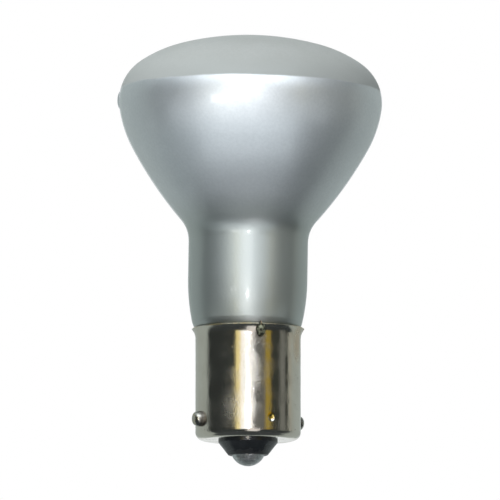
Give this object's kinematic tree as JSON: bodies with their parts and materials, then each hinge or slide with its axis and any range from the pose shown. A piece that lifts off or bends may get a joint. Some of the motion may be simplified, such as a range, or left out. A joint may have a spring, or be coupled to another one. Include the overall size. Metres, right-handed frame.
{
  "type": "reflector light bulb",
  "caption": "Small mushroom-shaped reflector light bulb, silvered with a frosted face, on a metal bayonet cap with a black glass insulator and a soldered bottom contact.",
  "frame": {"origin": "on the cap's axis, level with the middle of the bayonet pins", "axes": "+Z from the cap towards the domed face; the bayonet pins lie along X, and the cap's dimples along Y"},
  "size_m": [0.038, 0.038, 0.0622],
  "materials": {
    "silvered_glass": "clear glass, silvered inside, with a frosted face",
    "nickel_plate": "bright nickel plate on brass, scuffed and stained",
    "pin_metal": "nickel plate on brass",
    "black_glass": "moulded black glass, glossy",
    "bare_brass": "tinned brass",
    "solder": "dull tin and lead solder",
    "lead_wire": "copper-clad wire",
    "cement": "baked basing cement"
  },
  "bodies": {
    "root": {"glass_envelope": "silvered_glass", "cap_shell": "nickel_plate", "bayonet_pin_right": "pin_metal", "bayonet_pin_left": "pin_metal", "insulator": "black_glass", "contact_plate": "bare_brass", "contact_solder": "solder", "side_solder": "solder", "lead_wire_contact": "lead_wire", "lead_wire_shell": "lead_wire", "basing_cement": "cement"}
  },
  "joints": []
}
